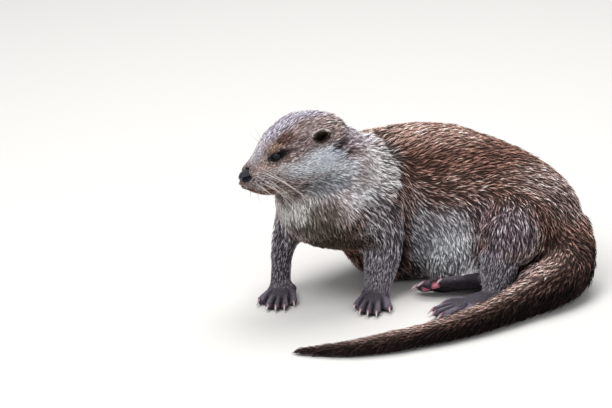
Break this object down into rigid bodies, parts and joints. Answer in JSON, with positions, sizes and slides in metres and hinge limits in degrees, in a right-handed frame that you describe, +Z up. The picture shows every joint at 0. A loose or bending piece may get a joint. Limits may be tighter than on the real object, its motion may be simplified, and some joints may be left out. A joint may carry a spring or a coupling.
{
  "type": "river otter",
  "caption": "Life-size still model of a river otter resting on its belly and forepaws, head raised and turned aside, tail swept round in front of its hind feet.",
  "frame": {"origin": "middle of the bounding box's base, on the floor", "axes": "+Z up; +X towards the rump, along the longest extent; -Y towards the open side of the bow in which the body lies, where the tail's tip is"},
  "size_m": [0.437, 0.369, 0.246],
  "materials": {
    "back_coat": "matt, short dense fur",
    "face_coat": "matt, very short dense fur",
    "pale_coat": "matt, dense pale fur",
    "leg_coat": "matt, short dense fur",
    "tail_coat": "matt, short sleek fur",
    "foot_skin": "dull bare skin with very short fur",
    "nose_skin": "moist pebbled bare skin",
    "eye_black": "wet gloss",
    "claw_horn": "smooth pale horn"
  },
  "bodies": {
    "root": {"head": "face_coat", "lower_jaw": "pale_coat", "nose": "nose_skin", "ear_left": "face_coat", "ear_right": "face_coat", "eye_left": "eye_black", "eye_right": "eye_black", "neck": "pale_coat", "chest": "pale_coat", "loins": "back_coat", "rump": "back_coat", "tail_base": "tail_coat", "tail_middle": "tail_coat", "tail_end": "tail_coat", "foreleg_left": "leg_coat", "foreleg_right": "leg_coat", "forepaw_left": "foot_skin", "forepaw_right": "foot_skin", "thigh_left": "back_coat", "thigh_right": "pale_coat", "shank_left": "leg_coat", "shank_right": "leg_coat", "hind_foot_left": "foot_skin", "hind_foot_right": "foot_skin", "forepaw_left_claw_1": "claw_horn", "forepaw_left_claw_2": "claw_horn", "forepaw_left_claw_3": "claw_horn", "forepaw_left_claw_4": "claw_horn", "forepaw_left_claw_5": "claw_horn", "forepaw_right_claw_1": "claw_horn", "forepaw_right_claw_2": "claw_horn", "forepaw_right_claw_3": "claw_horn", "forepaw_right_claw_4": "claw_horn", "forepaw_right_claw_5": "claw_horn", "hind_foot_left_claw_1": "claw_horn", "hind_foot_left_claw_2": "claw_horn", "hind_foot_left_claw_3": "claw_horn", "hind_foot_left_claw_4": "claw_horn", "hind_foot_left_claw_5": "claw_horn", "hind_foot_right_claw_1": "claw_horn", "hind_foot_right_claw_2": "claw_horn", "hind_foot_right_claw_3": "claw_horn", "hind_foot_right_claw_4": "claw_horn", "hind_foot_right_claw_5": "claw_horn"}
  },
  "joints": []
}
